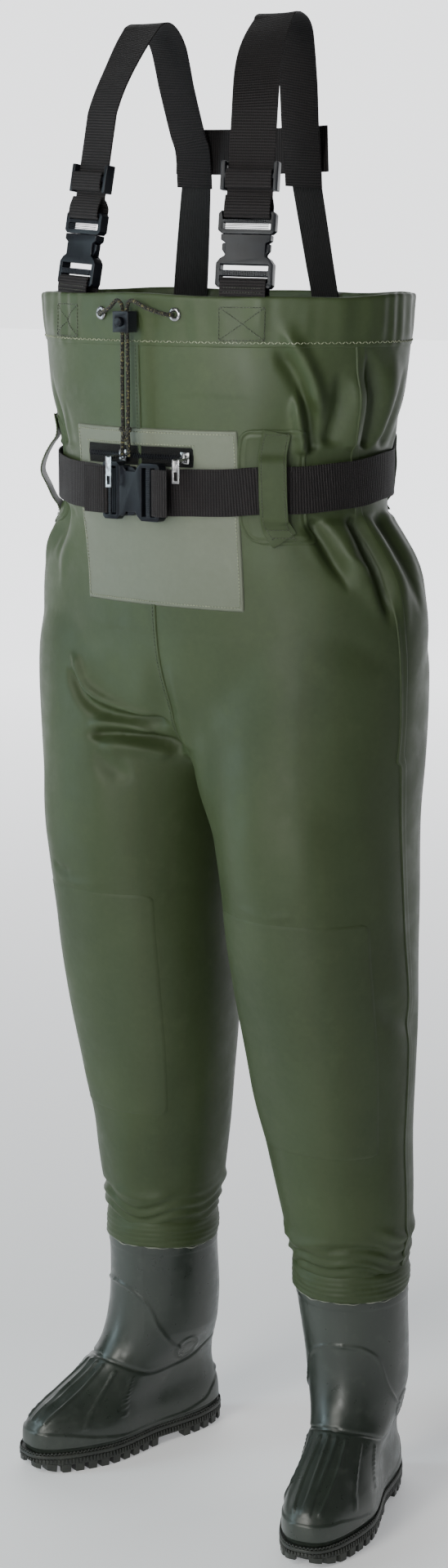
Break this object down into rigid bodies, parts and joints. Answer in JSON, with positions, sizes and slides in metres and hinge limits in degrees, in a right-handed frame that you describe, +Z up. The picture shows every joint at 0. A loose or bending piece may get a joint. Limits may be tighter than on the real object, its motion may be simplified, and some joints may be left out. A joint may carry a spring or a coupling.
{
  "type": "chest waders",
  "caption": "Bootfoot chest waders standing on their soles, with waist belt, zipped chest pocket, drawcord hem and adjustable quick-release shoulder straps.",
  "frame": {"origin": "centre of the overall footprint on the floor, under the soles", "axes": "+Z up; the wearer faces -Y and the wearer's left side is +X"},
  "size_m": [0.502, 0.331, 1.6981],
  "materials": {
    "coated_fabric": "olive green PVC-coated fabric, satin",
    "coated_fabric_patch": "welded olive green patch, satin",
    "boot_rubber": "dark green moulded boot, satin",
    "insole_foam": "black lining sole, matt",
    "sole_rubber": "dark green cleated sole, matt",
    "pocket_fabric": "lighter grey-green coated fabric, satin",
    "zip_tape": "black zip tape and coil",
    "nickel": "bright nickel plate",
    "buckle_plastic": "black acetal, satin",
    "webbing": "black-brown ribbed webbing",
    "elastic": "black woven elastic",
    "cord": "black braided cord with an olive fleck"
  },
  "bodies": {
    "waders": {"front_panel_left": "coated_fabric", "front_panel_right": "coated_fabric", "back_panel_left": "coated_fabric", "back_panel_right": "coated_fabric", "chest_hem": "coated_fabric", "knee_patch_left": "coated_fabric_patch", "knee_patch_right": "coated_fabric_patch", "boot_cuff_left": "coated_fabric", "boot_cuff_right": "coated_fabric", "boot_upper_left": "boot_rubber", "boot_upper_right": "boot_rubber", "insole_left": "insole_foam", "insole_right": "insole_foam", "outsole_left": "sole_rubber", "outsole_right": "sole_rubber", "pocket_patch": "pocket_fabric", "zip_tape": "zip_tape", "belt_buckle_female": "buckle_plastic", "belt_buckle_male": "buckle_plastic", "belt_webbing": "webbing", "belt_loop_front_left": "coated_fabric", "belt_loop_side_right": "coated_fabric", "belt_loop_back_left": "coated_fabric", "belt_loop_back_right": "coated_fabric", "shoulder_buckle_left_female": "buckle_plastic", "shoulder_buckle_left_male": "buckle_plastic", "anchor_tab_left": "webbing", "front_strap_left": "webbing", "elastic_strap_left": "elastic", "shoulder_buckle_right_female": "buckle_plastic", "shoulder_buckle_right_male": "buckle_plastic", "anchor_tab_right": "webbing", "front_strap_right": "webbing", "elastic_strap_right": "elastic", "back_yoke": "webbing", "eyelet_left": "nickel", "eyelet_right": "nickel", "drawcord_left": "cord", "drawcord_right": "cord", "drawcord_knot": "cord"},
    "zip_slider_right": {"zip_slider_right": "nickel"},
    "zip_slider_left": {"zip_slider_left": "nickel"},
    "zip_pull_right": {"zip_pull_right": "nickel"},
    "zip_pull_left": {"zip_pull_left": "nickel"},
    "belt_prong_a": {"belt_buckle_prong_a": "buckle_plastic"},
    "belt_prong_b": {"belt_buckle_prong_b": "buckle_plastic"},
    "triglide_left": {"triglide_left": "buckle_plastic", "strap_fold_left": "webbing"},
    "triglide_right": {"triglide_right": "buckle_plastic", "strap_fold_right": "webbing"},
    "cord_lock": {"cord_lock": "buckle_plastic"},
    "cord_lock_button": {"cord_lock_button": "buckle_plastic"},
    "shoulder_prong_left_a": {"shoulder_buckle_left_prong_a": "buckle_plastic"},
    "shoulder_prong_left_b": {"shoulder_buckle_left_prong_b": "buckle_plastic"},
    "shoulder_prong_right_a": {"shoulder_buckle_right_prong_a": "buckle_plastic"},
    "shoulder_prong_right_b": {"shoulder_buckle_right_prong_b": "buckle_plastic"}
  },
  "joints": [
    {"name": "zip_slider_right_run", "type": "hinge", "parent": "waders", "child": "zip_slider_right", "pos_m": [0, 0.13191, 1.234], "axis": [0, 0, 1], "range_deg": [-11, 0]},
    {"name": "zip_pull_right_swing", "type": "hinge", "parent": "zip_slider_right", "child": "zip_pull_right", "pos_m": [-0.01919, -0.14171, 1.2341], "axis": [-0.9976, 0.0699, 0], "range_deg": [0, 75]},
    {"name": "zip_slider_left_run", "type": "hinge", "parent": "waders", "child": "zip_slider_left", "pos_m": [0, 0.13191, 1.234], "axis": [0, 0, 1], "range_deg": [-10, 0]},
    {"name": "zip_pull_left_swing", "type": "hinge", "parent": "zip_slider_left", "child": "zip_pull_left", "pos_m": [0.0612, -0.13547, 1.2341], "axis": [-0.9748, -0.2231, 0], "range_deg": [0, 75]},
    {"name": "belt_prong_a_press", "type": "hinge", "parent": "waders", "child": "belt_prong_a", "pos_m": [-0.0142, -0.14728, 1.2135], "axis": [0, 1, 0], "range_deg": [0, 6], "stiffness_Nm_per_rad": 3},
    {"name": "belt_prong_b_press", "type": "hinge", "parent": "waders", "child": "belt_prong_b", "pos_m": [-0.0142, -0.14728, 1.1805], "axis": [0, -1, 0], "range_deg": [0, 6], "stiffness_Nm_per_rad": 3},
    {"name": "shoulder_prong_left_a_press", "type": "hinge", "parent": "waders", "child": "shoulder_prong_left_a", "pos_m": [0.13417, -0.09532, 1.46571], "axis": [-0.3498, 0.9293, -0.1185], "range_deg": [0, 6], "stiffness_Nm_per_rad": 3},
    {"name": "shoulder_prong_left_b_press", "type": "hinge", "parent": "waders", "child": "shoulder_prong_left_b", "pos_m": [0.10326, -0.10686, 1.46648], "axis": [0.3498, -0.9293, 0.1185], "range_deg": [0, 6], "stiffness_Nm_per_rad": 3},
    {"name": "triglide_left_slide", "type": "slide", "parent": "waders", "child": "triglide_left", "axis": [-0.0199, 0.1191, 0.9927], "range_m": [0, 0.05]},
    {"name": "shoulder_prong_right_a_press", "type": "hinge", "parent": "waders", "child": "shoulder_prong_right_a", "pos_m": [-0.08675, -0.10421, 1.4652], "axis": [0.1964, 0.9688, -0.1513], "range_deg": [0, 6], "stiffness_Nm_per_rad": 3},
    {"name": "shoulder_prong_right_b_press", "type": "hinge", "parent": "waders", "child": "shoulder_prong_right_b", "pos_m": [-0.119, -0.09742, 1.46683], "axis": [-0.1964, -0.9688, 0.1513], "range_deg": [0, 6], "stiffness_Nm_per_rad": 3},
    {"name": "triglide_right_slide", "type": "slide", "parent": "waders", "child": "triglide_right", "axis": [0.079, 0.1382, 0.9872], "range_m": [0, 0.05]},
    {"name": "cord_lock_slide", "type": "slide", "parent": "waders", "child": "cord_lock", "axis": [0, 0, -1], "range_m": [0, 0.08]},
    {"name": "cord_lock_button_press", "type": "slide", "parent": "cord_lock", "child": "cord_lock_button", "axis": [0, 1, 0], "range_m": [0, 0.0015], "stiffness_N_per_m": 900, "springref_m": -0.001}
  ]
}
